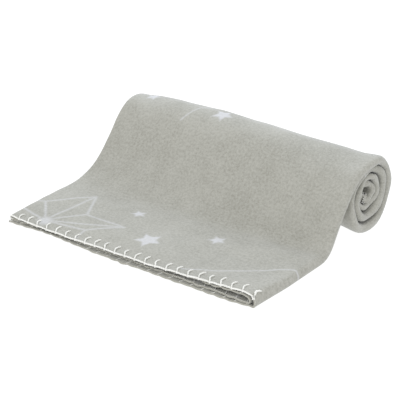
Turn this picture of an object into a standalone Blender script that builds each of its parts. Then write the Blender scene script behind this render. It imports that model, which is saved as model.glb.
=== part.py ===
"""Throw blanket, folded lengthwise into four layers and rolled up from its far end.

Frame: X runs along the roll, with the two nested folds at +X. Y runs from the front edge, at -Y,
back to the roll. Z is up. The origin is on the floor, under the middle of the whole bundle.
Run: blender --background --python part.py
"""
import math

import bmesh
import bpy
import numpy as np

# ---- driving dimensions, metres ----
SHEET_WIDTH = 1.500          # the blanket laid flat, across the folds
SHEET_LENGTH = 1.000         # the blanket laid flat, along the folds
FLEECE_THICKNESS = 0.0017    # one layer of brushed fleece, pile included
YARN_DIAMETER = 0.0016       # edging yarn
ROLL_LAYER_GAP = 0.0003      # between layers where the roll presses them together
FLAP_LAYER_GAP = 0.0010      # between layers where the flap lies loose
WRAP_GAP = 0.0018            # between one turn of the roll and the next
CORE_RADIUS = 0.0060         # middle of the stack at the very centre of the roll
FREE_EDGE_INSET = 0.0050     # how far the two free long edges lie behind the left fold
FLAP_FLAT_LENGTH = 0.130     # flat part of the flap, from its front edge
RISE_BEND_RADIUS = 0.030     # bend where the flap lifts off the floor
RISE_SLOPE = math.radians(50)  # slope of the flap as it climbs onto the roll
YARN_CLEARANCE = 0.0003      # between a cut edge and the yarn along it
SHEET_SPLIT = 0.0003         # between the flap's solid and the roll's, which are one sheet of cloth

# ---- colours and finish ----
FLEECE_COLOUR = (0.49, 0.50, 0.47)
FLEECE_ROUGHNESS = 0.95
YARN_COLOUR = (0.86, 0.85, 0.80)
YARN_ROUGHNESS = 0.85

# ---- how finely the bends are stepped ----
ROLL_STEP = math.radians(20)
RISE_STEPS = 5
OUTER_FOLD_STEPS = 8
INNER_FOLD_STEPS = 5
LEFT_FOLD_STEPS = 5

# ---- worked out from the above ----
LAYERS = 4
FOLDED_WIDTH = SHEET_WIDTH / LAYERS
ROLL_LAYER_PITCH = FLEECE_THICKNESS + ROLL_LAYER_GAP
FLAP_LAYER_PITCH = FLEECE_THICKNESS + FLAP_LAYER_GAP
ROLL_STACK = (LAYERS - 1) * ROLL_LAYER_PITCH + FLEECE_THICKNESS
FLAP_STACK = (LAYERS - 1) * FLAP_LAYER_PITCH + FLEECE_THICKNESS
WRAP_PITCH = ROLL_STACK + WRAP_GAP
YARN_OFFSET = YARN_CLEARANCE + YARN_DIAMETER / 2
YARN_BEVEL_RESOLUTION = 2


def clear_scene():
    for item in list(bpy.data.objects):
        bpy.data.objects.remove(item, do_unlink=True)


def new_collection(name):
    made = bpy.data.collections.new(name)
    bpy.context.scene.collection.children.link(made)
    return made


def plain_material(name, colour, roughness):
    made = bpy.data.materials.new(name)
    made.use_nodes = True
    shader = made.node_tree.nodes["Principled BSDF"]
    shader.inputs["Base Color"].default_value = (*colour, 1.0)
    shader.inputs["Roughness"].default_value = roughness
    shader.inputs["Metallic"].default_value = 0.0
    made.diffuse_color = (*colour, 1.0)
    return made


# ---- the line that the stack of four layers follows, seen from the side ----

def roll_turns(start_radius):
    """Radius and turned angle at each step of the spiral, from where the flap meets the roll."""
    whole_turn = (start_radius - CORE_RADIUS) / WRAP_PITCH * 2 * math.pi
    steps = math.ceil(whole_turn / ROLL_STEP - 1e-6)
    turned = [min(i * ROLL_STEP, whole_turn) for i in range(steps + 1)]
    return [(start_radius - WRAP_PITCH * angle / (2 * math.pi), angle) for angle in turned]


def roll_offsets(start_radius):
    """Centre line of the spiral about the roll's centre: (along, up, outward along, outward up)."""
    line = []
    for radius, turned in roll_turns(start_radius):
        place = math.pi / 2 + RISE_SLOPE - turned
        outward = (math.cos(place), math.sin(place))
        line.append((radius * outward[0], radius * outward[1], *outward))
    return line


def centre_height(start_radius):
    """Height of the roll's centre that rests its outermost layer on the floor."""
    skin = [up + normal_up * ROLL_STACK / 2 for _, up, _, normal_up in roll_offsets(start_radius)]
    return -min(skin)


def straight_rise(start_radius):
    """Length of the straight climb between the bend off the floor and the roll."""
    climb = centre_height(start_radius) + start_radius * math.cos(RISE_SLOPE) - FLAP_STACK / 2
    return climb / math.sin(RISE_SLOPE) - RISE_BEND_RADIUS * math.tan(RISE_SLOPE / 2)


def path_length(start_radius):
    spiral = math.pi * (start_radius ** 2 - CORE_RADIUS ** 2) / WRAP_PITCH
    bend = RISE_BEND_RADIUS * RISE_SLOPE
    return FLAP_FLAT_LENGTH + bend + straight_rise(start_radius) + spiral


def solve_roll_radius():
    """Start radius of the spiral that uses up exactly the sheet's length."""
    low = CORE_RADIUS + WRAP_PITCH
    high = SHEET_LENGTH
    for _ in range(60):
        middle = (low + high) / 2
        if path_length(middle) < SHEET_LENGTH:
            low = middle
        else:
            high = middle
    return (low + high) / 2


def ease(share):
    """0 to 1 with a level start and finish."""
    share = min(max(share, 0.0), 1.0)
    return share * share * (3 - 2 * share)


def stack_path():
    """Stations from the front edge to the core: (along, up, outward along, outward up, pitch)."""
    radius = solve_roll_radius()
    flap_height = FLAP_STACK / 2
    rise = straight_rise(radius)
    stations = [(0.0, flap_height, 0.0, 1.0, FLAP_LAYER_PITCH)]
    for i in range(RISE_STEPS + 1):
        angle = RISE_SLOPE * i / RISE_STEPS
        along = FLAP_FLAT_LENGTH + RISE_BEND_RADIUS * math.sin(angle)
        up = flap_height + RISE_BEND_RADIUS * (1 - math.cos(angle))
        stations.append((along, up, -math.sin(angle), math.cos(angle), FLAP_LAYER_PITCH))
    bend_end = stations[-1]
    half_way = (bend_end[0] + rise / 2 * math.cos(RISE_SLOPE),
                bend_end[1] + rise / 2 * math.sin(RISE_SLOPE))
    middle_pitch = FLAP_LAYER_PITCH + (ROLL_LAYER_PITCH - FLAP_LAYER_PITCH) * ease(0.5)
    stations.append((*half_way, bend_end[2], bend_end[3], middle_pitch))
    centre = roll_centre(bend_end, rise, radius)
    for along, up, out_along, out_up in roll_offsets(radius):
        stations.append((centre[0] + along, centre[1] + up, out_along, out_up, ROLL_LAYER_PITCH))
    return stations


def roll_centre(bend_end, rise, radius):
    along = bend_end[0] + rise * math.cos(RISE_SLOPE) + radius * math.sin(RISE_SLOPE)
    return along, centre_height(radius)


# ---- the four layers and three folds, seen along the path ----

def half_turn(centre_x, centre_out, radius, start, steps):
    """Points round a fold: half a circle, anticlockwise from the start angle."""
    angles = [start + math.pi * i / steps for i in range(steps + 1)]
    return [(centre_x + radius * math.cos(a), centre_out + radius * math.sin(a)) for a in angles]


def fold_section(pitch):
    """Middle of the cloth across the stack: (x, outward), from one free edge to the other."""
    right = FOLDED_WIDTH / 2 - 1.5 * FLAP_LAYER_PITCH - FLEECE_THICKNESS / 2
    left = -FOLDED_WIDTH / 2 + 0.5 * FLAP_LAYER_PITCH + FLEECE_THICKNESS / 2
    free = -FOLDED_WIDTH / 2 + FREE_EDGE_INSET
    down = -math.pi / 2
    up = math.pi / 2
    section = [(free, -1.5 * pitch)]
    section += half_turn(right, 0.0, 1.5 * pitch, down, OUTER_FOLD_STEPS)
    section += half_turn(left, pitch, 0.5 * pitch, up, LEFT_FOLD_STEPS)
    inner = half_turn(right, 0.0, 0.5 * pitch, down, INNER_FOLD_STEPS)
    section += inner[::-1]
    section.append((free, -0.5 * pitch))
    return section


def place_point(station, x, outward):
    along, up, out_along, out_up, _ = station
    return x, along + outward * out_along, up + outward * out_up


def split_at_roll(stations):
    """The flap's stations and the roll's, a hair apart where the flap meets the roll."""
    meeting = RISE_STEPS + 3
    along, up, out_along, out_up, pitch = stations[meeting]
    moved = (along + out_up * SHEET_SPLIT, up - out_along * SHEET_SPLIT, out_along, out_up, pitch)
    return stations[:meeting + 1], [moved] + stations[meeting + 1:]


def depth_middle(stations):
    """Half of the bundle's depth, from the yarn on the front edge to the back of the roll."""
    front = -YARN_OFFSET - YARN_DIAMETER / 2
    back = max(s[0] + s[2] * ROLL_STACK / 2 for s in stations)
    return (front + back) / 2


def to_world(point, middle):
    return point[0], point[1] - middle, point[2]


# ---- the pieces ----

def make_cloth(name, stations, middle, home):
    """A stretch of the sheet: a grid laid along the path and across the folds, then thickened."""
    across = len(fold_section(ROLL_LAYER_PITCH))
    along = len(stations)
    grid = bmesh.new()
    bmesh.ops.create_grid(grid, x_segments=across - 1, y_segments=along - 1, size=0.5)
    grid.verts.ensure_lookup_table()
    flat = np.array([v.co[:] for v in grid.verts])
    columns = np.rint((flat[:, 0] + 0.5) * (across - 1)).astype(int)
    rows = np.rint((flat[:, 1] + 0.5) * (along - 1)).astype(int)
    sections = [fold_section(s[4]) for s in stations]
    for vert, column, row in zip(grid.verts, columns, rows):
        x, outward = sections[row][column]
        vert.co = to_world(place_point(stations[row], x, outward), middle)
    mesh = bpy.data.meshes.new(name)
    grid.to_mesh(mesh)
    grid.free()
    cloth = bpy.data.objects.new(name, mesh)
    home.objects.link(cloth)
    thicken = cloth.modifiers.new("cloth thickness", "SOLIDIFY")
    thicken.thickness = FLEECE_THICKNESS
    thicken.offset = 0.0
    mesh.materials.append(plain_material(name, FLEECE_COLOUR, FLEECE_ROUGHNESS))
    return cloth


def make_yarn(name, points, home):
    """Edging yarn along one cut edge, as a plain round tube with closed ends."""
    curve = bpy.data.curves.new(name, "CURVE")
    curve.dimensions = "3D"
    curve.bevel_depth = YARN_DIAMETER / 2
    curve.bevel_resolution = YARN_BEVEL_RESOLUTION
    curve.use_fill_caps = True
    spline = curve.splines.new("POLY")
    spline.points.add(len(points) - 1)
    for knot, point in zip(spline.points, points):
        knot.co = (*point, 1.0)
    yarn = bpy.data.objects.new(name, curve)
    home.objects.link(yarn)
    curve.materials.append(plain_material(name, YARN_COLOUR, YARN_ROUGHNESS))
    return yarn


def beyond_end(station, direction):
    """The station moved off the sheet's end, to where the yarn along that end lies."""
    along, up, out_along, out_up, pitch = station
    forward = (out_up, -out_along)
    move = YARN_OFFSET * direction
    return along + forward[0] * move, up + forward[1] * move, out_along, out_up, pitch


def make_end_yarn(name, station, direction, middle, home):
    """Yarn across a short edge: it follows the folds through all four layers."""
    moved = beyond_end(station, direction)
    section = fold_section(station[4])
    points = [to_world(place_point(moved, x, outward), middle) for x, outward in section]
    return make_yarn(name, points, home)


def make_side_yarn(name, stations, layer_offset, middle, home):
    """Yarn down one free long edge, from the front edge into the roll's core."""
    x = -FOLDED_WIDTH / 2 + FREE_EDGE_INSET - YARN_OFFSET
    points = [to_world(place_point(s, x, layer_offset * s[4]), middle) for s in stations]
    return make_yarn(name, points, home)


def build():
    clear_scene()
    home = new_collection("folded_throw_blanket")
    stations = stack_path()
    middle = depth_middle(stations)
    flap, roll = split_at_roll(stations)
    make_cloth("fleece_flap", flap, middle, home)
    make_cloth("fleece_roll", roll, middle, home)
    make_end_yarn("front_edge_yarn", stations[0], -1, middle, home)
    make_end_yarn("core_edge_yarn", stations[-1], 1, middle, home)
    make_side_yarn("upper_side_yarn", stations, -0.5, middle, home)
    make_side_yarn("lower_side_yarn", stations, -1.5, middle, home)


build()
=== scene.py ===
import math
from types import SimpleNamespace

import bpy
import numpy as np
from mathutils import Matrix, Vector


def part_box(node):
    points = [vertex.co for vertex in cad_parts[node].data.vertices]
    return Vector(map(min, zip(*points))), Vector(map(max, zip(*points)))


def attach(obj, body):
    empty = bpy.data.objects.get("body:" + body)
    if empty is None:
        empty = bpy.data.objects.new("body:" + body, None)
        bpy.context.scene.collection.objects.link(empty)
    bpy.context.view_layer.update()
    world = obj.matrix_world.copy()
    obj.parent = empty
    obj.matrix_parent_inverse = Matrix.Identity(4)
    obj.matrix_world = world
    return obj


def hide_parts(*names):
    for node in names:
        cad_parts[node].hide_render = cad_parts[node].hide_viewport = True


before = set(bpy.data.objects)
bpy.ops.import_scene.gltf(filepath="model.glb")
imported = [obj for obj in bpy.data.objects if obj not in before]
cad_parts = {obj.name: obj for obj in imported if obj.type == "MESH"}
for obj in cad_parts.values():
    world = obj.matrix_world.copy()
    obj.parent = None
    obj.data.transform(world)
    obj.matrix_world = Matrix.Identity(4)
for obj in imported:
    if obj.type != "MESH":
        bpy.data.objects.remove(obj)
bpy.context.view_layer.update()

# ---------------------------------------------------------------------------
# The fleece: one rectangle of brushed polyester fleece, cut to size and printed on one face. It is
# folded lengthwise in half and in half again, then rolled up by hand from its far end.
# ---------------------------------------------------------------------------

# A flat place on the cloth is (across, along): over its width from one long edge to the other, and
# over its length from the front edge to the far one.
CLOTH_WIDTH = 1.500
CLOTH_LENGTH = 1.000
CLOTH_THICKNESS = 0.0016
flap_low, flap_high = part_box("fleece_flap")
BUNDLE_LEFT = flap_low.x
BUNDLE_RIGHT = flap_high.x
BUNDLE_WIDTH = BUNDLE_RIGHT - BUNDLE_LEFT
FRONT_EDGE = flap_low.y


def ease(share):
    """0 to 1 with a level start and finish."""
    share = np.clip(share, 0.0, 1.0)
    return share * share * (3 - 2 * share)


def mix(low, high, share):
    return low + (high - low) * share


def from_left(x):
    """0 at the left end of the bundle, 1 at its right end."""
    return np.clip((x - BUNDLE_LEFT) / BUNDLE_WIDTH, 0, 1)


def near_edge(along, reach, power=2):
    """1 at the front edge, fading to 0 within about twice the reach."""
    return np.exp(-(np.maximum(along, 0) / reach) ** power)


def soft_waves(u, v, wavelength, seed):
    """Gentle unevenness, mostly from -1 to 1, made of eight waves in fixed random directions."""
    draw = np.random.default_rng(seed)
    total = np.zeros(np.broadcast(u, v).shape)
    for _ in range(8):
        heading = draw.uniform(0, math.pi)
        length = wavelength * draw.uniform(0.7, 1.5)
        phase = draw.uniform(0, 2 * math.pi)
        total += np.sin(2 * math.pi * (u * math.cos(heading) + v * math.sin(heading)) / length + phase)
    return total / 4


# The line that the middle of the stack follows, from the front edge to the core of the roll.
FLAT_ALONG = 0.115           # cloth used by the flat flap
TOP_ALONG = 0.285            # cloth used up to the top of the roll
ROLL_TURNS = 3.75            # turns from the top of the roll to the far edge at its core
# Radius of the roll at each quarter turn from its top, at the left end and at the right end. It was
# rolled by hand, so it is uneven.
RADII_LEFT = np.array([45.0, 41.5, 38.5, 35.5, 33.8, 30.8, 28.5, 23.2,
                       21.4, 20.5, 18.5, 12.4, 10.6, 11.2, 8.4, 4.4]) / 1000
RADII_RIGHT = np.array([46.6, 41.3, 40.3, 43.5, 33.0, 32.0, 30.5, 30.0,
                        21.5, 22.0, 20.0, 17.5, 10.8, 12.0, 9.6, 7.5]) / 1000
QUARTER_BLEND = 0.155        # how far one of these radii blends into the next, in turns
ROLL_RISE = 0.0465           # height of the roll's axis at the right end
CORE_SHIFT = (-0.008, 0.006)     # how far the core has slipped, along y and z
# The outer turn at the right end has sagged: place in turns, and how far out from its radius.
SAGS = ((0.14, -0.0022), (0.37, 0.0045), (0.61, 0.0030))
SAG_REACH = 0.085            # how far a sag spreads, in turns
FLAP_PITCH = (0.0027, 0.0031)    # from layer to layer in the flap, left and right
ROLL_PITCH = 0.0018              # from layer to layer in the roll
FLOOR_GAP = 0.0008
CROWN = 0.551                # how much fuller the roll is between its ends
ROLL_STEPS = 3000            # places worked out on the rolled line


def roll_line(axis_y, size, radii, sagged):
    """Turns, y and z of the rolled part, from the roll's top to the core, at one end."""
    turns = np.linspace(0, ROLL_TURNS, ROLL_STEPS)
    quarters = np.arange(radii.size) / 4
    even = np.polyfit(quarters, radii, 3)
    uneven = radii - np.polyval(even, quarters)
    spread = np.array([np.exp(-((turns - q) / QUARTER_BLEND) ** 2) for q in quarters])
    radius = np.polyval(even, turns) + (spread * uneven[:, None]).sum(0) / spread.sum(0)
    for place, out in SAGS:
        radius = radius + sagged * out * np.exp(-((turns - place) / SAG_REACH) ** 2)
    angle = math.pi / 2 - 2 * math.pi * turns
    slipped = ease(turns / 3)
    y = axis_y + size * (CORE_SHIFT[0] * slipped + radius * np.cos(angle))
    z = size * (ROLL_RISE + CORE_SHIFT[1] * slipped + radius * np.sin(angle))
    return turns, y, z


def stack_line(axis_y, size, radii, sagged, rise_start, lead_in, lead_out, flap_height):
    """Place along the cloth, y and z of the line at one end of the bundle."""
    turns, roll_y, roll_z = roll_line(axis_y, size, radii, sagged)
    flat = np.linspace(0, 1, 60)[:-1]
    t = np.linspace(0, 1, 400)
    rise_foot = FRONT_EDGE + rise_start
    corners_y = [rise_foot, rise_foot + lead_in, roll_y[0] - lead_out, roll_y[0]]
    corners_z = [flap_height, flap_height, roll_z[0], roll_z[0]]
    weights = [(1 - t) ** 3, 3 * (1 - t) ** 2 * t, 3 * (1 - t) * t ** 2, t ** 3]
    rise_y = sum(w * c for w, c in zip(weights, corners_y))
    rise_z = sum(w * c for w, c in zip(weights, corners_z))
    length = np.concatenate([[0], np.cumsum(np.hypot(np.diff(rise_y), np.diff(rise_z)))])
    walked = np.concatenate([[0], np.cumsum(np.hypot(np.diff(roll_y), np.diff(roll_z)))])
    along = np.concatenate([flat * FLAT_ALONG, mix(FLAT_ALONG, TOP_ALONG, length / length[-1])[:-1],
                            mix(TOP_ALONG, CLOTH_LENGTH, walked / walked[-1])])
    y = np.concatenate([FRONT_EDGE + flat * rise_start, rise_y[:-1], roll_y])
    z = np.concatenate([np.full(flat.size, flap_height), rise_z[:-1], roll_z])
    return along, y, z


def flap_middle(pitch):
    """Height of the middle of the stack's four layers where it lies flat."""
    return FLOOR_GAP + CLOTH_THICKNESS / 2 + 1.5 * pitch


left_line = stack_line(axis_y=FRONT_EDGE + 0.248, size=0.965, radii=RADII_LEFT, sagged=0.0,
                       rise_start=0.100, lead_in=0.103, lead_out=0.0575,
                       flap_height=flap_middle(FLAP_PITCH[0]))
right_line = stack_line(axis_y=FRONT_EDGE + 0.249, size=1.0, radii=RADII_RIGHT, sagged=1.0,
                        rise_start=0.130, lead_in=0.044, lead_out=0.094,
                        flap_height=flap_middle(FLAP_PITCH[1]))

LINE_STEPS = 6000            # places kept on the whole line
line_along = np.linspace(0, CLOTH_LENGTH, LINE_STEPS)
line_points = np.array([[np.interp(line_along, end[0], end[1]), np.interp(line_along, end[0], end[2])]
                        for end in (left_line, right_line)])
line_turns = np.interp(line_along, right_line[0][-ROLL_STEPS:], np.linspace(0, ROLL_TURNS, ROLL_STEPS))
LOOSE_ROOM = 0.012           # room outside the last turn, which has no neighbour
CORE_ROOM = 0.010            # room inside the innermost turn


def room_between_turns():
    """Distance from each place of the rolled line to its nearest neighbouring turn, at the right end."""
    turns, y, z = roll_line(axis_y=0.0, size=1.0, radii=RADII_RIGHT, sagged=1.0)
    place = np.stack([y, z], -1)
    one_turn = round(ROLL_STEPS / ROLL_TURNS)
    inward = np.full(ROLL_STEPS, CORE_ROOM)
    inward[:-one_turn] = np.linalg.norm(place[one_turn:] - place[:-one_turn], axis=-1)
    outward = np.full(ROLL_STEPS, LOOSE_ROOM)
    outward[one_turn:] = inward[:-one_turn]
    return turns, np.minimum(inward, outward)


room_turns, room = room_between_turns()


def on_line(along, x):
    """The stack's middle at a place along the cloth, for any x: y, z and the outward direction."""
    share = from_left(x)
    inside = np.clip(along, 0, CLOTH_LENGTH)
    reach = 4 * CLOTH_LENGTH / (LINE_STEPS - 1)

    def at(place):
        place = np.clip(place, 0, CLOTH_LENGTH)
        y, z = (mix(*(np.interp(place, line_along, line_points[end, axis]) for end in (0, 1)), share)
                for axis in (0, 1))
        return y, z + CROWN * share * (1 - share) ** 2 * (z - FLAP_PITCH[1] * 1.5)

    y, z = at(inside)
    y_next, z_next = at(inside + reach)
    y_last, z_last = at(inside - reach)
    run_y, run_z = y_next - y_last, z_next - z_last
    size = np.hypot(run_y, run_z)
    run_y, run_z = run_y / size, run_z / size
    beyond = along - inside
    return y + beyond * run_y, z + beyond * run_z, -run_z, run_y


# How the four layers stack and how the three folds bulge.
FOLD_REACH = 0.024           # how far into the stack the folds at the right spread its layers
LEFT_REACH = 0.012           # the same for the fold at the left
FOLD_GAP = 0.0004            # left between a fold and the cloth inside it
# Half heights of the folds: in the flap, and the most that they have in the roll.
OUTER_HALF, OUTER_HALF_ROLLED = 0.0047, 0.0066
INNER_HALF, INNER_HALF_ROLLED = 0.0020, 0.0019
LEFT_HALF, LEFT_HALF_ROLLED = 0.0015, 0.00125
CORNER_OPENING = 0.0021      # how much the right folds open further at the front corner
CORNER_SET_BACK = 0.0035     # how far the inner fold stands back from the outer one there
CRUMPLE = 0.34               # how much a crumpled stretch of the roll narrows its outer fold
FREE_EDGE_INSET = 0.0045     # how far the long edges stand in from the left fold
STRETCHES = ("bottom", "outer_fold", "top", "left_fold", "second", "inner_fold", "third")
STRETCH_SHARES = np.cumsum([0, 0.3645, 0.0165, 0.3680, 0.0045, 0.3680, 0.0055, 0.3730])
STRETCH_STARTS = STRETCH_SHARES / STRETCH_SHARES[-1] * CLOTH_WIDTH
# Place of each flat layer in the stack, in layers from the stack's middle.
LAYER_PLACE = {"top": 1.5, "second": 0.5, "third": -0.5, "bottom": -1.5}
HOLLOW_REACH = 0.085         # length of the hollow that the inner fold leaves open at the front corner
EDGE_CURL = 0.0008           # how far the cut edges curl up and down between the stitches

# How far the front edge wanders forward, by place across the cloth: bottom, top, second and third layer.
EDGE_PLACES = np.array([0.00, 0.06, 0.14, 0.24, 0.34, 0.372, 0.39, 0.46, 0.52, 0.58, 0.65, 0.71, 0.745,
                        0.755, 0.81, 0.94, 1.06, 1.115, 1.125, 1.15, 1.26, 1.36, 1.44, 1.50])
EDGE_FORWARD = np.array([5.5, 1.0, 7.0, 6.5, 5.5, 1.8, -1.0, -0.5, 2.2, 1.8, 2.0, 2.0, 0.0, 0.0,
                         -1.8, -2.6, -1.5, 1.4, 2.4, 2.6, 0.5, 0.0, -2.5, 1.5]) / 1000
# How far the front edge's layers stand apart, for their pitch further in, by x.
EDGE_PRESS_PLACES = np.array([BUNDLE_LEFT, -0.13, -0.06, 0.04, 0.12, BUNDLE_RIGHT])
EDGE_PRESS = np.array([0.70, 0.66, 0.72, 0.88, 1.12, 1.30])
STITCH_PITCH = CLOTH_WIDTH / 96      # from leg to leg of the edging


def plumpness(x, along):
    """Thickness of the cloth, for pressed cloth's. Its pile stands up at the front edge, most at right."""
    return 1 + mix(0.10, 0.34, from_left(x)) * near_edge(along, 0.030)


LEAVES_FLAT, REACHES_ROLL = 0.09, 0.22     # cloth used where the stack leaves the flap and joins the roll


def flapness(along):
    """1 on the flat flap, 0 from the roll onwards."""
    return 1 - ease((along - LEAVES_FLAT) / (REACHES_ROLL - LEAVES_FLAT))


def layer_pitch(along, x):
    """From layer to layer of the stack, here and in the middle of the flap."""
    flat_pitch = mix(FLAP_PITCH[0], FLAP_PITCH[1], from_left(x))
    press = np.interp(x, EDGE_PRESS_PLACES, EDGE_PRESS)
    pressed = flat_pitch * mix(1.0, press, near_edge(along, 0.020))
    return mix(ROLL_PITCH, pressed, flapness(along)), flat_pitch


def wander_of_turns(turns):
    """How far to the right the turns stand out of line. Those near the core have slipped to the left."""
    wander = 0.0012 * np.sin(2 * math.pi * turns * 0.61 + 1.0) + 0.0011 * np.sin(2 * math.pi * turns * 1.9)
    wander = wander + 0.0011 * np.sin(2 * math.pi * turns * 4.3 + 2.0)
    return wander - 0.0034 * ease((turns - 0.4) / 2.6)


def fold_sizes(along):
    """Half height of each fold, centres of the two at the right, and the x where each fold starts to turn
    back and the free edges end. The outer fold fills the room between turns, except where it crumples."""
    turns = np.interp(along, line_along, line_turns)
    flat = flapness(along)
    corner = near_edge(along, 0.035, 1.5)
    pitch_here = np.interp(turns, room_turns, room)
    roll_outer = np.clip((pitch_here - CLOTH_THICKNESS - FOLD_GAP) / 2, 1.3 * ROLL_PITCH, OUTER_HALF_ROLLED)
    crumple = np.clip(np.sin(2 * math.pi * (1.9 * turns + 0.35)), 0, 1) ** 2 * ease((turns - 0.9) / 0.3)
    roll_outer = np.maximum(roll_outer * (1 - CRUMPLE * crumple), 1.4 * ROLL_PITCH)
    outer = mix(roll_outer, OUTER_HALF + CORNER_OPENING * corner, flat)
    roll_inner = np.minimum(outer - CLOTH_THICKNESS - FOLD_GAP, INNER_HALF_ROLLED)
    inner = mix(roll_inner, INNER_HALF + CORNER_OPENING * corner, flat)
    left = mix(LEFT_HALF_ROLLED, LEFT_HALF, flat)
    lowest = -1.5 * FLAP_PITCH[1]
    wander = wander_of_turns(turns) * (1 - flat)
    widening = 0.0030 * ease(along / 0.06) * (1 - ease((along - 0.12) / 0.08))
    widening = widening + 0.0040 * ease((along - 0.14) / 0.06) * (1 - ease(turns / 0.25))
    rounding = 0.0030 * ease((turns + 0.2) / 0.3) * (1 - ease((turns - 0.3) / 0.3))
    rounding = rounding * ease((along - 0.2) / 0.08)
    outer_turn = BUNDLE_RIGHT - CLOTH_THICKNESS / 2 - outer + wander + widening - rounding
    inset = FREE_EDGE_INSET * (1 - 0.6 * near_edge(along, 0.03))
    return SimpleNamespace(
        outer=outer, inner=inner, left=left,
        outer_centre=flat * (lowest + outer),
        inner_centre=flat * (lowest + CLOTH_THICKNESS + FOLD_GAP + inner),
        outer_turn=outer_turn,
        inner_turn=outer_turn - CORNER_SET_BACK * corner * flat,
        left_turn=BUNDLE_LEFT + CLOTH_THICKNESS / 2 + left + wander,
        free=BUNDLE_LEFT + inset + wander + 0.0008 * np.sin(along * 2 * math.pi / 0.083))


def lift_in_stack(stretch, turn, x, along, folds, pitch):
    """How far the cloth stands off the stack's middle: layers side by side, spread where they fold."""
    lift = np.zeros(x.shape)
    near_front = near_edge(along, 0.045)
    for name, place in LAYER_PLACE.items():
        here = stretch == STRETCHES.index(name)
        outermost = abs(place) > 1
        paired = place + 0.18 * np.sign(place) * (not outermost) * near_front * ease((x + 0.16) / 0.20)
        turn_x = folds.outer_turn if outermost else folds.inner_turn
        centre, half = (folds.outer_centre, folds.outer) if outermost else (folds.inner_centre, folds.inner)
        reach = FOLD_REACH + (HOLLOW_REACH - FOLD_REACH) * near_front * (place > 0)
        spread = ease((x - (turn_x - reach)) / reach)
        layer = mix(paired * pitch, centre + np.sign(place) * half, spread)
        if place > 0:
            target = pitch + (folds.left if outermost else -folds.left)
            layer = mix(layer, target, ease((folds.left_turn + LEFT_REACH - x) / LEFT_REACH))
        lift = np.where(here, layer, lift)
    pinch = 0.6 * flapness(along) * folds.outer * np.sin(turn) ** 2
    bends = {"outer_fold": folds.outer_centre - folds.outer * np.cos(turn) - pinch,
             "left_fold": pitch + folds.left * np.cos(turn),
             "inner_fold": folds.inner_centre + folds.inner * np.cos(turn)}
    for name, bend in bends.items():
        lift = np.where(stretch == STRETCHES.index(name), bend, lift)
    return lift


def front_unevenness(inside, along, upper):
    """How far the cloth stands forward near its front edge, and how far it curls up there."""
    forward = np.interp(inside, EDGE_PLACES, EDGE_FORWARD) * near_edge(along, 0.028, 1.5)
    beat = np.abs(np.sin(math.pi * (inside / STITCH_PITCH - 0.25)))
    uneven = 0.5 + 0.5 * soft_waves(inside, 0.0, 0.045, 21)
    puckered = near_edge(along, 0.007)
    scallop = np.where(upper, 0.0013, 0.0024) * (beat * uneven - 0.4) * puckered
    curl = np.where(upper, 0.6, 1.0) * EDGE_CURL * soft_waves(inside, 0.0, 0.021, 5) * puckered
    in_front = along < 0.2
    return (forward + scallop) * in_front, curl * in_front


def middle_of_cloth(across, along):
    """Place in the bundle of the middle of the cloth, for flat places on it."""
    across, along = np.broadcast_arrays(np.asarray(across, float), np.asarray(along, float))
    inside = np.clip(across, 0, CLOTH_WIDTH)
    stretch = np.clip(np.searchsorted(STRETCH_STARTS, inside, side="right") - 1, 0, len(STRETCHES) - 1)
    part = (inside - STRETCH_STARTS[stretch]) / np.diff(STRETCH_STARTS)[stretch]
    turn = math.pi * part
    flat = flapness(along)
    folds = fold_sizes(along)
    blunt = mix(0.72, 1.0, flat)
    runs = {"bottom": mix(folds.free, folds.outer_turn, part),
            "outer_fold": folds.outer_turn + folds.outer * np.abs(np.sin(turn)) ** blunt,
            "top": mix(folds.outer_turn, folds.left_turn, part),
            "left_fold": folds.left_turn - folds.left * np.sin(turn),
            "second": mix(folds.left_turn, folds.inner_turn, part),
            "inner_fold": folds.inner_turn + folds.inner * np.sin(turn),
            "third": mix(folds.inner_turn, folds.free, part)}
    x = np.select([stretch == STRETCHES.index(name) for name in runs], list(runs.values()))
    pitch, flat_pitch = layer_pitch(along, x)
    lift = lift_in_stack(stretch, turn, x, along, folds, pitch)
    inner_part = 1 - ease((x - (folds.outer_turn - FOLD_REACH)) / FOLD_REACH)
    lift = lift + flat * 1.5 * (pitch - flat_pitch) * inner_part
    height = np.clip((lift + 1.5 * pitch) / (3 * pitch), 0, 1)
    waves = 0.0007 * soft_waves(x, along, 0.085, 3) + 0.00025 * soft_waves(x, along, 0.032, 8)
    lift = lift + waves * mix(1.0, height, flat)
    upper = (stretch == STRETCHES.index("top")) | (stretch == STRETCHES.index("left_fold"))
    forward, curl = front_unevenness(inside, along, upper)
    lift = lift + curl * mix(0.15, 1.0, height)
    y, z, out_y, out_z = on_line(along, x)
    x = x - np.abs(across - inside)
    return np.stack([x, y - forward + lift * out_y, z + lift * out_z], -1)


def cloth_facing(across, along, reach=0.0004):
    """Unit direction out of the cloth's printed face."""
    run_across = middle_of_cloth(across + reach, along) - middle_of_cloth(across - reach, along)
    run_along = middle_of_cloth(across, along + reach) - middle_of_cloth(across, along - reach)
    facing = np.cross(run_along, run_across)
    return facing / np.linalg.norm(facing, axis=-1, keepdims=True)


def stretch_columns(spacings):
    """Places across the cloth where the mesh has a column, stretch by stretch."""
    places = [0.0]
    for i, spacing in enumerate(spacings):
        start, finish = STRETCH_STARTS[i], STRETCH_STARTS[i + 1]
        count = max(1, round((finish - start) / spacing))
        places += list(np.linspace(start, finish, count + 1)[1:])
    return np.array(places)


COLUMN_SPACINGS = (0.0115, 0.0009, 0.0046, 0.0006, 0.0115, 0.0006, 0.0115)   # one for each stretch
EDGE_COLUMN_SPACING = 0.0023


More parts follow.
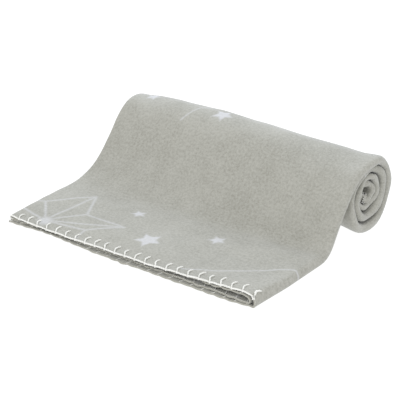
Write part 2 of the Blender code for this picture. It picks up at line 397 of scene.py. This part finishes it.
def mesh_columns():
    """Coarse columns for the whole cloth, and fine ones, which hold the coarse, for its front edge."""
    coarse = stretch_columns(COLUMN_SPACINGS)
    fine, joints = [coarse[0]], [0]
    for low, high in zip(coarse[:-1], coarse[1:]):
        count = max(1, round((high - low) / EDGE_COLUMN_SPACING))
        fine += list(np.linspace(low, high, count + 1)[1:])
        joints.append(len(fine) - 1)
    return coarse, np.array(fine), joints


def mesh_rows():
    """Places along the cloth where the mesh has a row: close ones at the front edge, then the rest."""
    edge = [0, 0.0008, 0.0020, 0.0036, 0.0056, 0.0080, 0.0110]
    flap = list(np.arange(0.0150, TOP_ALONG, 0.0056))
    turns = list(np.arange(0, 1.15, 1 / 36)) + list(np.arange(1.15, ROLL_TURNS, 1 / 27)) + [ROLL_TURNS]
    rolled = line_along >= TOP_ALONG
    roll = list(np.interp(turns, line_turns[rolled], line_along[rolled]))
    return np.array(edge), np.array(flap + roll)


RIM_BULGE = 0.35 * CLOTH_THICKNESS     # how far the middle of a cut edge stands out
LOWEST = 0.0001              # nothing of the fleece is nearer to the floor's plane than this


def faces_of_sides(rows, starts, joints, count):
    """Faces of the printed side and of the plain side, and for each 0 if printed or 1 if plain."""
    faces, plain = [], []
    for row in range(len(rows) - 1):
        low, high = starts[row], starts[row + 1]
        same = rows[row][1] is rows[row + 1][1]
        for column in range(len(rows[row + 1][1]) - 1):
            if same:
                near = [low + column, low + column + 1]
            else:
                near = list(range(low + joints[column], low + joints[column + 1] + 1))
            face = near + [high + column + 1, high + column]
            faces.append(face[::-1])
            plain.append(0)
            faces.append([v + count for v in face])
            plain.append(1)
    return faces, plain


def rim_loop(rows, starts):
    """Vertices round the cloth's cut edge, in order."""
    front = list(range(starts[0], starts[0] + len(rows[0][1])))
    right = [starts[r] + len(rows[r][1]) - 1 for r in range(1, len(rows))]
    back = list(range(starts[-1] + len(rows[-1][1]) - 2, starts[-1] - 1, -1))
    left = [starts[r] for r in range(len(rows) - 2, 0, -1)]
    return front + right + back + left


def middle_of_rim(rim_flat):
    """Places along the middle of the cut edge, which bulges a little."""
    outward = np.zeros(rim_flat.shape)
    outward[:, 0] = np.where(rim_flat[:, 0] <= 0, -1, 0) + np.where(rim_flat[:, 0] >= CLOTH_WIDTH, 1, 0)
    outward[:, 1] = np.where(rim_flat[:, 1] <= 0, -1, 0) + np.where(rim_flat[:, 1] >= CLOTH_LENGTH, 1, 0)
    pushed = rim_flat + outward * RIM_BULGE
    return middle_of_cloth(pushed[:, 0], pushed[:, 1])


def cloth_mesh(name):
    """Both sides of the cloth and its cut edge, as one closed mesh with the flat place as its UV."""
    coarse, fine, joints = mesh_columns()
    edge_rows, main_rows = mesh_rows()
    rows = [(along, fine) for along in edge_rows] + [(along, coarse) for along in main_rows]
    flat, starts = [], []
    for along, columns in rows:
        starts.append(len(flat))
        flat += [(across, along) for across in columns]
    flat = np.array(flat)
    count = len(flat)
    rim = rim_loop(rows, starts)
    middle = middle_of_cloth(flat[:, 0], flat[:, 1])
    facing = cloth_facing(flat[:, 0], flat[:, 1])
    half = (CLOTH_THICKNESS / 2 * plumpness(middle[:, 0], flat[:, 1]))[:, None]
    points = np.concatenate([middle + facing * half, middle - facing * half, middle_of_rim(flat[rim])])
    points[:, 2] = np.maximum(points[:, 2], LOWEST)
    faces, plain = faces_of_sides(rows, starts, joints, count)
    for i in range(len(rim)):
        j = (i + 1) % len(rim)
        a, b, m, n = rim[i], rim[j], 2 * count + i, 2 * count + j
        faces.append([a, b, n, m])
        faces.append([m, n, b + count, a + count])
        plain += [0, 1]
    mesh = bpy.data.meshes.new(name)
    mesh.from_pydata(points.tolist(), [], faces)
    mesh.polygons.foreach_set("material_index", plain)
    mesh.polygons.foreach_set("use_smooth", [True] * len(faces))
    uv = mesh.uv_layers.new(name="flat_cloth")
    all_flat = np.concatenate([flat, flat, flat[rim]])
    loops = np.zeros(len(mesh.loops), int)
    mesh.loops.foreach_get("vertex_index", loops)
    uv.data.foreach_set("uv", all_flat[loops].astype(np.float32).ravel())
    mesh.update()
    return mesh


def add_piece(name, mesh, materials):
    """An object at the origin that shows a finished mesh."""
    piece = bpy.data.objects.new(name, mesh)
    bpy.context.scene.collection.objects.link(piece)
    for material in materials:
        mesh.materials.append(material)
    return piece


# Its finish is warm grey brushed pile, a little uneven from wear and washing. One face has a soft white
# print of stars, which repeats over the whole cloth. The other face is plain.
FLEECE_GREY = (0.412, 0.410, 0.372)
PILE_SHADOW = (0.285, 0.283, 0.248)
INK_WHITE = (0.560, 0.568, 0.585)
# Painted shade: a darker colour laid on the cloth's cut edges. It stands in for the shade in the gaps
# between the stacked layers.
EDGE_PAINTED_SHADE = (0.365, 0.358, 0.312)
PRINT_REPEAT = 0.50
PRINT_START = (0.33, 0.0, 0.0)       # lowest corner of the repeat that is listed here
# Printed stars: place across and along the cloth, radius and turn in degrees.
SOLID_STARS = [(0.567, 0.045, 0.0175, 41), (0.6215, 0.0976, 0.0100, 50), (0.501, 0.090, 0.0115, 47),
               (0.604, 0.281, 0.0145, 33), (0.722, 0.288, 0.0110, 20), (0.455, 0.372, 0.0175, 12),
               (0.640, 0.405, 0.0110, 61), (0.535, 0.440, 0.0090, 25), (0.715, 0.350, 0.0090, 40)]
FACET_STARS = [(0.560, 0.355, 0.048, 12)]
# The large faceted star at the front edge: its middle, and its corners and inner corners in turn.
FACET_MIDDLE = (0.7045, 0.0150)
FACET_CORNERS = [(0.798, 0.040), (0.741, 0.061), (0.697, 0.112), (0.673, 0.059), (0.612, 0.055),
                 (0.647, 0.024), (0.640, -0.030)]
# Thin printed strokes, each as the places that it joins.
STROKES = [[(0.488, 0.009), (0.454, 0.024), (0.399, 0.067), (0.384, 0.075), (0.366, 0.070)],
           [(0.652, 0.255), (0.642, 0.284), (0.628, 0.300)],
           [(0.440, 0.300), (0.400, 0.345), (0.395, 0.420)]]
# Width and strength of the ink in the strokes and in the large star's lines.
STROKE_INK = (0.0025, 0.60)
FACET_INK = (0.0034, 0.56)


class Maths:
    """Writes sums as math nodes in one node tree."""

    def __init__(self, tree):
        self.tree = tree

    def node(self, kind, **settings):
        made = self.tree.nodes.new(kind)
        for name, value in settings.items():
            setattr(made, name, value)
        return made

    def feed(self, socket, value):
        if isinstance(value, bpy.types.NodeSocket):
            self.tree.links.new(value, socket)
        else:
            socket.default_value = value

    def do(self, operation, *values):
        made = self.node("ShaderNodeMath", operation=operation)
        for socket, value in zip(made.inputs, values):
            self.feed(socket, value)
        return made.outputs[0]

    def vector(self, operation, *values):
        made = self.node("ShaderNodeVectorMath", operation=operation)
        for socket, value in zip(made.inputs, values):
            self.feed(socket, value)
        return made.outputs["Value" if operation in ("LENGTH", "DOT_PRODUCT") else "Vector"]

    def soft_step(self, value, full, none):
        """1 below full, 0 above none, smooth between."""
        made = self.node("ShaderNodeMapRange", interpolation_type="SMOOTHSTEP")
        for socket, setting in zip(made.inputs, (value, full, none, 1.0, 0.0)):
            self.feed(socket, setting)
        return made.outputs["Result"]

    def noise(self, place, size, detail=2.0, roughness=0.5):
        """Noise whose grains are about a size across."""
        made = self.node("ShaderNodeTexNoise", noise_dimensions="3D")
        self.feed(made.inputs["Vector"], place)
        self.feed(made.inputs["Scale"], 1 / size)
        self.feed(made.inputs["Detail"], detail)
        self.feed(made.inputs["Roughness"], roughness)
        return made.outputs["Fac"]


def star_group(name, points, waist, line_width):
    """Ink of one star: filled, or as an outline with a line from its middle to every corner."""
    tree = bpy.data.node_groups.new(name, "ShaderNodeTree")
    for label, kind in (("Place", "NodeSocketVector"), ("Centre", "NodeSocketVector"),
                        ("Radius", "NodeSocketFloat"), ("Turn", "NodeSocketFloat")):
        tree.interface.new_socket(label, in_out="INPUT", socket_type=kind)
    tree.interface.new_socket("Ink", in_out="OUTPUT", socket_type="NodeSocketFloat")
    maths = Maths(tree)
    given = maths.node("NodeGroupInput").outputs
    given_out = maths.node("NodeGroupOutput")
    place = maths.vector("SUBTRACT", given["Place"], given["Centre"])
    split = maths.node("ShaderNodeSeparateXYZ")
    maths.feed(split.inputs[0], place)
    distance = maths.vector("LENGTH", place)
    heading = maths.do("ARCTAN2", split.outputs["Y"], split.outputs["X"])
    corners = maths.do("MULTIPLY", maths.do("SUBTRACT", heading, given["Turn"]), points / (2 * math.pi))
    nearest = maths.do("SUBTRACT", corners, maths.do("ROUND", corners))
    off_tip = maths.do("MULTIPLY", maths.do("ABSOLUTE", nearest), 2 * math.pi / points)
    out = maths.do("MULTIPLY", distance, maths.do("COSINE", off_tip))
    side = maths.do("MULTIPLY", distance, maths.do("SINE", off_tip))
    half = math.pi / points
    edge_x, edge_y = waist * math.sin(half), 1 - waist * math.cos(half)
    size = math.hypot(edge_x, edge_y)
    past_tip = maths.do("MULTIPLY", maths.do("SUBTRACT", out, given["Radius"]), edge_x / size)
    outside = maths.do("ADD", past_tip, maths.do("MULTIPLY", side, edge_y / size))
    if line_width == 0:
        ink = maths.soft_step(outside, -0.0026, 0.0018)
    else:
        to_waist = maths.do("SUBTRACT", maths.do("MULTIPLY", out, math.sin(half)),
                            maths.do("MULTIPLY", side, math.cos(half)))
        nearest_line = maths.do("MINIMUM", maths.do("ABSOLUTE", outside),
                                maths.do("MINIMUM", side, maths.do("ABSOLUTE", to_waist)))
        lines = maths.do("MULTIPLY", maths.soft_step(nearest_line, 0.2 * line_width, line_width),
                         maths.soft_step(outside, 0.5 * line_width, line_width))
        glow = maths.do("MULTIPLY", maths.soft_step(distance, 0.003, 0.016), 0.9)
        ink = maths.do("MAXIMUM", lines, glow)
    maths.feed(given_out.inputs["Ink"], ink)
    return tree


def line_group():
    """Ink of one thin straight line between two places."""
    tree = bpy.data.node_groups.new("printed_line", "ShaderNodeTree")
    for label, kind in (("Place", "NodeSocketVector"), ("Start", "NodeSocketVector"),
                        ("Run", "NodeSocketVector"), ("Width", "NodeSocketFloat")):
        tree.interface.new_socket(label, in_out="INPUT", socket_type=kind)
    tree.interface.new_socket("Ink", in_out="OUTPUT", socket_type="NodeSocketFloat")
    maths = Maths(tree)
    given = maths.node("NodeGroupInput").outputs
    given_out = maths.node("NodeGroupOutput")
    place = maths.vector("SUBTRACT", given["Place"], given["Start"])
    share = maths.do("DIVIDE", maths.vector("DOT_PRODUCT", place, given["Run"]),
                     maths.vector("DOT_PRODUCT", given["Run"], given["Run"]))
    clamp = maths.node("ShaderNodeClamp")
    maths.feed(clamp.inputs["Value"], share)
    scaled = maths.node("ShaderNodeVectorMath", operation="SCALE")
    maths.feed(scaled.inputs[0], given["Run"])
    maths.feed(scaled.inputs["Scale"], clamp.outputs[0])
    distance = maths.vector("LENGTH", maths.vector("SUBTRACT", place, scaled.outputs[0]))
    maths.feed(given_out.inputs["Ink"], maths.soft_step(distance, 0.0, given["Width"]))
    return tree


def print_ink(maths, cloth_place):
    """How much ink lies at a place on the cloth, from 0 to 1."""
    wrap = maths.node("ShaderNodeVectorMath", operation="WRAP")
    maths.feed(wrap.inputs[0], cloth_place)
    maths.feed(wrap.inputs[1], (PRINT_START[0] + PRINT_REPEAT, PRINT_START[1] + PRINT_REPEAT, 1.0))
    maths.feed(wrap.inputs[2], PRINT_START)
    place = wrap.outputs[0]
    inks = []
    solid = star_group("solid_star", points=5, waist=0.53, line_width=0)
    facet = star_group("facet_star", points=6, waist=0.56, line_width=0.0036)
    for tree, stars, strength in ((solid, SOLID_STARS, 1.0), (facet, FACET_STARS, 0.50)):
        for across, along, radius, turn in stars:
            star = maths.node("ShaderNodeGroup", node_tree=tree)
            maths.feed(star.inputs["Place"], place)
            star.inputs["Centre"].default_value = (across, along, 0)
            star.inputs["Radius"].default_value = radius
            star.inputs["Turn"].default_value = math.radians(turn)
            inks.append(maths.do("MULTIPLY", star.outputs["Ink"], strength))
    segment = line_group()
    lines = [(*ends, STROKE_INK) for stroke in STROKES for ends in zip(stroke[:-1], stroke[1:])]
    lines += [(*ends, FACET_INK) for ends in zip(FACET_CORNERS[:-1], FACET_CORNERS[1:])]
    lines += [(FACET_MIDDLE, corner, FACET_INK) for corner in FACET_CORNERS[:-1]]
    for start, finish, (width, strength) in lines:
        line = maths.node("ShaderNodeGroup", node_tree=segment)
        maths.feed(line.inputs["Place"], place)
        line.inputs["Start"].default_value = (*start, 0)
        line.inputs["Run"].default_value = (finish[0] - start[0], finish[1] - start[1], 0)
        line.inputs["Width"].default_value = width
        inks.append(maths.do("MULTIPLY", line.outputs["Ink"], strength))
    from_middle = maths.vector("LENGTH", maths.vector("SUBTRACT", place, (*FACET_MIDDLE, 0)))
    inks.append(maths.do("MULTIPLY", maths.soft_step(from_middle, 0.003, 0.015), 0.85))
    total = inks[0]
    for ink in inks[1:]:
        total = maths.do("MAXIMUM", total, ink)
    return total


def fleece_material(name, printed):
    """Brushed pile: mottled grey from fibres up to wide brushed patches, painted shade darkening its cut
    edges, a soft bump and a pale sheen.
    """
    made = bpy.data.materials.new(name)
    made.use_nodes = True
    tree = made.node_tree
    maths = Maths(tree)
    shader = tree.nodes["Principled BSDF"]
    shader.inputs["Roughness"].default_value = 0.92
    shader.inputs["Specular IOR Level"].default_value = 0.25
    shader.inputs["Sheen Weight"].default_value = 0.35
    shader.inputs["Sheen Roughness"].default_value = 0.45
    shader.inputs["Sheen Tint"].default_value = (0.90, 0.93, 1.0, 1)
    cloth_uv = maths.node("ShaderNodeUVMap", uv_map="flat_cloth").outputs["UV"]
    waver = maths.node("ShaderNodeVectorMath", operation="MULTIPLY_ADD")
    wobble = maths.node("ShaderNodeTexNoise")
    maths.feed(wobble.inputs["Vector"], cloth_uv)
    maths.feed(wobble.inputs["Scale"], 1 / 0.0025)
    maths.feed(waver.inputs[0], wobble.outputs["Color"])
    maths.feed(waver.inputs[1], (0.0009, 0.0009, 0.0))
    maths.feed(waver.inputs[2], cloth_uv)
    fibres = maths.noise(cloth_uv, 0.00045, 2.0, 0.6)
    tufts = maths.noise(cloth_uv, 0.0016, 3.0, 0.6)
    clumps = maths.noise(cloth_uv, 0.0034, 2.0, 0.55)
    nap = maths.noise(cloth_uv, 0.022, 3.0, 0.55)
    brushed = maths.noise(cloth_uv, 0.11, 2.0, 0.5)
    shade = maths.do("MULTIPLY", maths.do("SUBTRACT", tufts, 0.5), 1.6)
    for grain, strength in ((fibres, 0.6), (clumps, 1.9), (nap, 0.8), (brushed, 0.9)):
        shade = maths.do("ADD", shade, maths.do("MULTIPLY", maths.do("SUBTRACT", grain, 0.5), strength))
    shade = maths.do("ADD", shade, 0.62)
    ramp = maths.node("ShaderNodeMix", data_type="RGBA")
    maths.feed(ramp.inputs["Factor"], shade)
    ramp.inputs["A"].default_value = (*PILE_SHADOW, 1)
    ramp.inputs["B"].default_value = (*FLEECE_GREY, 1)
    colour = ramp.outputs["Result"]
    if printed:
        cover = maths.do("ADD", 0.62, maths.do("MULTIPLY", clumps, 0.6))
        ink = maths.do("MULTIPLY", print_ink(maths, waver.outputs[0]), cover)
        printed_colour = maths.node("ShaderNodeMix", data_type="RGBA")
        maths.feed(printed_colour.inputs["Factor"], ink)
        maths.feed(printed_colour.inputs["A"], colour)
        printed_colour.inputs["B"].default_value = (*INK_WHITE, 1)
        colour = printed_colour.outputs["Result"]
    side_place = maths.node("ShaderNodeSeparateXYZ")
    maths.feed(side_place.inputs[0], cloth_uv)
    across, along = side_place.outputs["X"], side_place.outputs["Y"]
    to_side = maths.do("MINIMUM", across, maths.do("SUBTRACT", CLOTH_WIDTH, across))
    to_end = maths.do("MINIMUM", along, maths.do("SUBTRACT", CLOTH_LENGTH, along))
    to_edge = maths.do("MINIMUM", to_side, to_end)
    # Painted shade: within about 1.2 mm of the cloth's cut edges, the colour is mixed three quarters of the
    # way towards the painted edge shade.
    edge_painted_shade = maths.node("ShaderNodeMix", data_type="RGBA")
    painted_shade_at_edge = maths.do("MULTIPLY", maths.soft_step(to_edge, 0.0, 0.0012), 0.75)
    maths.feed(edge_painted_shade.inputs["Factor"], painted_shade_at_edge)
    maths.feed(edge_painted_shade.inputs["A"], colour)
    edge_painted_shade.inputs["B"].default_value = (*EDGE_PAINTED_SHADE, 1)
    maths.feed(shader.inputs["Base Color"], edge_painted_shade.outputs["Result"])
    height = maths.do("ADD", maths.do("MULTIPLY", fibres, 0.25), maths.do("MULTIPLY", tufts, 0.6))
    height = maths.do("ADD", height, maths.do("MULTIPLY", clumps, 0.5))
    bump = maths.node("ShaderNodeBump")
    bump.inputs["Strength"].default_value = 0.55
    bump.inputs["Distance"].default_value = 0.0007
    maths.feed(bump.inputs["Height"], height)
    maths.feed(shader.inputs["Normal"], bump.outputs["Normal"])
    return made


blanket = add_piece("fleece_blanket", cloth_mesh("fleece_blanket"),
                    [fleece_material("printed_fleece", True), fleece_material("fleece_back", False)])
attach(blanket, "root")
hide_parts("fleece_flap", "fleece_roll")

# ---------------------------------------------------------------------------
# The edging: off-white acrylic yarn in blanket stitch round all four sides. Each stitch has a leg on
# both faces, from a hole in the fleece to the edge, and a bar that lies along the edge to the next leg.
# ---------------------------------------------------------------------------

LEG = 0.0138                 # from the edge to the hole
YARN_RADIUS = 0.0010
TWIST_LENGTH = 0.0056        # yarn used by one turn of its twist
STITCH_START = 0.34          # place of the first leg, in stitches from the corner
# Where other layers press on an edge, its bars stand out by this share and sink into the pile this far.
TUCKED = 0.15
BURIED = 0.0006
PRESSED_HALF = 0.0010        # farthest that pressed yarn stands from the middle of its cloth
YARN_LOWEST = 0.0002
LEAN_LEFT, LEAN_RIGHT = -0.16, 0.10  # how far a leg leans, for its length
FOLD_NARROWING = 0.45        # how much narrower a leg is where it lies on the outer fold
YARN_WHITE = (0.88, 0.88, 0.855)
YARN_DULL = (0.651, 0.651, 0.599)


def yarn_material():
    """Matt, faintly fuzzy yarn, a little duller where it is handled."""
    made = bpy.data.materials.new("edging_yarn")
    made.use_nodes = True
    maths = Maths(made.node_tree)
    shader = made.node_tree.nodes["Principled BSDF"]
    shader.inputs["Roughness"].default_value = 0.8
    shader.inputs["Sheen Weight"].default_value = 0.25
    place = maths.node("ShaderNodeTexCoord").outputs["Object"]
    fuzz = maths.noise(place, 0.0004, 3.0, 0.6)
    soil = maths.noise(place, 0.009, 2.0, 0.5)
    mix_node = maths.node("ShaderNodeMix", data_type="RGBA")
    maths.feed(mix_node.inputs["Factor"], maths.do("MULTIPLY", maths.do("ADD", fuzz, soil), 0.7))
    mix_node.inputs["A"].default_value = (*YARN_DULL, 1)
    mix_node.inputs["B"].default_value = (*YARN_WHITE, 1)
    maths.feed(shader.inputs["Base Color"], mix_node.outputs["Result"])
    bump = maths.node("ShaderNodeBump")
    bump.inputs["Strength"].default_value = 0.5
    bump.inputs["Distance"].default_value = 0.0003
    maths.feed(bump.inputs["Height"], fuzz)
    maths.feed(shader.inputs["Normal"], bump.outputs["Normal"])
    return made


def stitch_path():
    """One stitch laid flat: x along the edge, y into the cloth, z off its printed face. Each of its two
    runs of yarn comes with its fullness, knot by knot, because the bar is pulled thin along the edge."""
    face = CLOTH_THICKNESS / 2
    edge = -RIM_BULGE - 0.45 * YARN_RADIUS
    pitch = STITCH_PITCH
    foot = -0.0034
    front_leg_and_bar = [(-0.0006, LEG, -0.2 * face), (-0.0005, LEG - 0.0007, face + 0.0002),
                         (0.0003, 0.64 * LEG, face + 0.00072), (-0.0003, 0.36 * LEG, face + 0.00085),
                         (foot + 0.0011, 0.13 * LEG, face + 0.00080), (foot, edge, 0.85 * face),
                         (foot + 0.22 * pitch, edge - 0.0001, 0.5 * face),
                         (foot + 0.60 * pitch, edge + 0.0001, 0.6 * face),
                         (foot + 0.93 * pitch, edge - 0.0002, 0.4 * face),
                         (foot + pitch, edge - 0.0003, 0.0)]
    back_leg = [(-0.0006, LEG - 0.0002, -0.3 * face), (-0.0008, LEG - 0.0010, -face - 0.0002),
                (-0.0014, 0.5 * LEG, -face - 0.0004), (foot, 0.0008, -face - 0.0003),
                (foot, edge - 0.0002, -0.35 * face)]
    return [(front_leg_and_bar, (0.8, 0.95, 1.05, 1.1, 1.1, 0.8, 0.42, 0.34, 0.34, 0.34)),
            (back_leg, (0.9, 1.0, 1.0, 0.9, 0.6))]


def stitch_curve():
    """The stitch as a curve object, which the geometry nodes repeat."""
    curve = bpy.data.curves.new("one_stitch", "CURVE")
    curve.dimensions = "3D"
    for points, fullness in stitch_path():
        spline = curve.splines.new("BEZIER")
        spline.bezier_points.add(len(points) - 1)
        for knot, point, full in zip(spline.bezier_points, points, fullness):
            knot.co = point
            knot.radius = full
            knot.handle_left_type = knot.handle_right_type = "AUTO"
    stitch = bpy.data.objects.new("one_stitch", curve)
    bpy.context.scene.collection.objects.link(stitch)
    return stitch


def stitch_row_tree():
    """Geometry nodes that lay a row of yarn stitches along x. The yarn is oval and turns along its run,
    as two plies twisted together do."""
    tree = bpy.data.node_groups.new("blanket_stitch_row", "GeometryNodeTree")
    for label, kind in (("Stitch", "NodeSocketObject"), ("Count", "NodeSocketInt"),
                        ("Pitch", "NodeSocketFloat"), ("First", "NodeSocketFloat"),
                        ("Step Length", "NodeSocketFloat"),
                        ("Yarn Radius", "NodeSocketFloat"), ("Sides", "NodeSocketInt"),
                        ("Twist Length", "NodeSocketFloat"), ("Seed", "NodeSocketInt"),
                        ("Yarn", "NodeSocketMaterial")):
        tree.interface.new_socket(label, in_out="INPUT", socket_type=kind)
    tree.interface.new_socket("Geometry", in_out="OUTPUT", socket_type="NodeSocketGeometry")
    nodes, links = tree.nodes, tree.links
    given = nodes.new("NodeGroupInput").outputs

    def add(kind, feeds=(), **settings):
        made = nodes.new(kind)
        for name, value in settings.items():
            setattr(made, name, value)
        for socket, value in feeds:
            if isinstance(value, bpy.types.NodeSocket):
                links.new(value, made.inputs[socket])
            else:
                made.inputs[socket].default_value = value
        return made.outputs

    def maths(operation, a, b=0.0):
        return add("ShaderNodeMath", [(0, a), (1, b)], operation=operation)[0]

    stitch = add("GeometryNodeObjectInfo", [("Object", given["Stitch"])])["Geometry"]
    fine = add("GeometryNodeResampleCurve", [("Curve", stitch), ("Length", given["Step Length"])],
               mode="LENGTH")[0]
    walked = add("GeometryNodeSplineParameter")["Length"]
    twist = maths("MULTIPLY", maths("DIVIDE", walked, given["Twist Length"]), 2 * math.pi)
    twisted = add("GeometryNodeSetCurveTilt", [("Curve", fine), ("Tilt", twist)])[0]
    ring = add("GeometryNodeCurvePrimitiveCircle",
               [("Resolution", given["Sides"]), ("Radius", given["Yarn Radius"])], mode="RADIUS")["Curve"]
    where = add("GeometryNodeInputPosition")[0]
    parts = add("ShaderNodeSeparateXYZ", [(0, where)])
    flatten = add("ShaderNodeCombineXYZ", [(0, maths("MULTIPLY", parts["X"], 1.12)),
                                           (1, maths("MULTIPLY", parts["Y"], 0.74))])[0]
    plies = add("GeometryNodeSetPosition", [("Geometry", ring), ("Position", flatten)])[0]
    yarn = add("GeometryNodeCurveToMesh",
               [("Curve", twisted), ("Profile Curve", plies), ("Fill Caps", True)])[0]
    start = add("ShaderNodeCombineXYZ", [(0, maths("MULTIPLY", given["First"], given["Pitch"]))])[0]
    step = add("ShaderNodeCombineXYZ", [(0, given["Pitch"])])[0]
    places = add("GeometryNodeMeshLine",
                 [("Count", given["Count"]), ("Start Location", start), ("Offset", step)], mode="OFFSET")[0]
    size = add("FunctionNodeRandomValue", [("Min", (1.0, 0.88, 0.95)), ("Max", (1.0, 1.06, 1.1)),
                                           ("Seed", given["Seed"])], data_type="FLOAT_VECTOR")[0]
    row = add("GeometryNodeInstanceOnPoints", [("Points", places), ("Instance", yarn), ("Scale", size)])[0]
    placed = add("GeometryNodeRealizeInstances", [("Geometry", row)])[0]
    smooth = add("GeometryNodeSetShadeSmooth", [("Geometry", placed)])[0]
    finished = add("GeometryNodeSetMaterial", [("Geometry", smooth), ("Material", given["Yarn"])])[0]
    end = nodes.new("NodeGroupOutput")
    links.new(finished, end.inputs["Geometry"])
    return tree


def lean_of_leg(along_edge, into_cloth, seed):
    """How far a leg leans along the edge, different for each stitch."""
    draw = np.random.default_rng(seed)
    leans = draw.uniform(LEAN_LEFT, LEAN_RIGHT, 200)
    stitch = np.floor(along_edge / STITCH_PITCH - STITCH_START + 0.12).astype(int)
    return np.clip(into_cloth, 0, None) * leans[np.clip(stitch, 0, leans.size - 1)]


def flat_row(name, count, step_length, sides, seed):
    """One row of stitches laid flat along x, as a plain mesh."""
    flat = bpy.data.objects.new(name, bpy.data.meshes.new(name))
    bpy.context.scene.collection.objects.link(flat)
    rower = flat.modifiers.new("stitches", "NODES")
    rower.node_group = row_tree
    settings = {"Stitch": one_stitch, "Count": count, "Pitch": STITCH_PITCH, "First": STITCH_START,
                "Step Length": step_length, "Yarn Radius": YARN_RADIUS, "Sides": sides,
                "Twist Length": TWIST_LENGTH, "Seed": seed, "Yarn": yarn_white}
    for item in row_tree.interface.items_tree:
        if item.in_out == "INPUT":
            rower[item.identifier] = settings[item.name]
    graph = bpy.context.evaluated_depsgraph_get()
    mesh = bpy.data.meshes.new_from_object(flat.evaluated_get(graph))
    bpy.data.objects.remove(flat)
    return mesh


def bend_with_cloth(mesh, to_cloth, seed, on_front_edge):
    """Leans the legs of a flat row, tucks in its pressed stitches and bends it round the folds."""
    points = np.zeros(len(mesh.vertices) * 3)
    mesh.vertices.foreach_get("co", points)
    x, y, z = points.reshape(-1, 3).T
    if on_front_edge:
        nearest_leg = (np.round(x / STITCH_PITCH - STITCH_START) + STITCH_START) * STITCH_PITCH
        on_fold = np.exp(-((x - (STRETCH_STARTS[1] + STRETCH_STARTS[2]) / 2) / 0.011) ** 2)
        x = x - (x - nearest_leg) * FOLD_NARROWING * on_fold * (y > 0)
    x = x + lean_of_leg(x, y, seed)
    across, along = to_cloth(x, y)
    pressed = (across < STRETCH_STARTS[2] - 0.004) | (across > STRETCH_STARTS[4] + 0.003)
    along = np.where(pressed & (along < 0), along * TUCKED + BURIED, along)
    z = np.where(pressed, np.clip(z, -PRESSED_HALF, PRESSED_HALF), z)
    middle = middle_of_cloth(across, along)
    bent = middle + cloth_facing(across, along) * (z * plumpness(middle[:, 0], along))[:, None]
    bent[:, 2] = np.maximum(bent[:, 2], YARN_LOWEST)
    mesh.vertices.foreach_set("co", bent.astype(np.float32).ravel())


def stitch_row(name, count, to_cloth, turns_over, step_length, sides, seed, node):
    """Makes one row, bends it with the cloth and puts it in place of its CAD node."""
    mesh = flat_row(name, count, step_length, sides, seed)
    bend_with_cloth(mesh, to_cloth, seed, node == "front_edge_yarn")
    if turns_over:
        mesh.flip_normals()
    mesh.name = name
    mesh.update()
    row = add_piece(name, mesh, [])
    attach(row, "root")
    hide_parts(node)
    return row


yarn_white = yarn_material()
one_stitch = stitch_curve()
row_tree = stitch_row_tree()
FRONT_COUNT = round(CLOTH_WIDTH / STITCH_PITCH) - 1
SIDE_COUNT = round(CLOTH_LENGTH / STITCH_PITCH) - 1
stitch_rows = [
    stitch_row("front_edge_stitches", FRONT_COUNT, lambda x, y: (x, y), turns_over=True,
               step_length=0.0012, sides=6, seed=11, node="front_edge_yarn"),
    stitch_row("core_edge_stitches", FRONT_COUNT, lambda x, y: (x, CLOTH_LENGTH - y), turns_over=False,
               step_length=0.0030, sides=5, seed=12, node="core_edge_yarn"),
    stitch_row("lower_side_stitches", SIDE_COUNT, lambda x, y: (y, x), turns_over=False,
               step_length=0.0026, sides=5, seed=13, node="lower_side_yarn"),
    stitch_row("upper_side_stitches", SIDE_COUNT, lambda x, y: (CLOTH_WIDTH - y, x), turns_over=True,
               step_length=0.0026, sides=5, seed=14, node="upper_side_yarn")]
bpy.data.objects.remove(one_stitch)

# ---------------------------------------------------------------------------
# The setting: a plain pale floor that gives off its own even light, a white studio with a soft light
# behind the roll and one in front, and the camera.
# ---------------------------------------------------------------------------

FLOOR_HALF = 4
floor_mesh = bpy.data.meshes.new("floor")
floor_mesh.from_pydata([(-FLOOR_HALF, -FLOOR_HALF, 0), (FLOOR_HALF, -FLOOR_HALF, 0),
                        (FLOOR_HALF, FLOOR_HALF, 0), (-FLOOR_HALF, FLOOR_HALF, 0)], [], [(0, 1, 2, 3)])
floor_material = bpy.data.materials.new("pale_floor")
floor_material.use_nodes = True
floor_inputs = floor_material.node_tree.nodes["Principled BSDF"].inputs
floor_inputs["Base Color"].default_value = (0.10, 0.10, 0.10, 1)
floor_inputs["Emission Color"].default_value = (1, 1, 1, 1)
floor_inputs["Emission Strength"].default_value = 0.96
floor_inputs["Roughness"].default_value = 0.9
floor = add_piece("floor", floor_mesh, [floor_material])

world = bpy.data.worlds.new("studio")
bpy.context.scene.world = world
world.use_nodes = True
world.node_tree.nodes["Background"].inputs["Color"].default_value = (1, 1, 1, 1)
world.node_tree.nodes["Background"].inputs["Strength"].default_value = 1.06


def softbox(name, place, size, power, colour):
    """A square light that faces the middle of the floor."""
    light = bpy.data.lights.new(name, "AREA")
    light.shape = "SQUARE"
    light.size = size
    light.energy = power
    light.color = colour
    lamp = bpy.data.objects.new(name, light)
    lamp.location = place
    direction = -lamp.location
    lamp.rotation_euler = direction.to_track_quat("-Z", "Y").to_euler()
    bpy.context.scene.collection.objects.link(lamp)
    return lamp


softbox("back_softbox", place=(-0.5, 1.5, 1.2), size=1.2, power=16, colour=(0.82, 0.90, 1.0))
softbox("front_softbox", place=(0.5, -2.0, 0.8), size=1.6, power=7.5, colour=(1.0, 0.99, 0.97))

lens = bpy.data.cameras.new("camera")
lens.sensor_width = 36
lens.lens = 145.53
camera = bpy.data.objects.new("camera", lens)
azimuth, elevation = math.radians(36.91), math.radians(25.23)
back = Vector((math.sin(azimuth) * math.cos(elevation), -math.cos(azimuth) * math.cos(elevation),
               math.sin(elevation)))
camera.location = (1.09524, -1.45757, 0.88665)
camera.rotation_euler = (-back).to_track_quat("-Z", "Y").to_euler()
bpy.context.scene.collection.objects.link(camera)
bpy.context.scene.camera = camera
bpy.context.scene.view_settings.view_transform = "Standard"
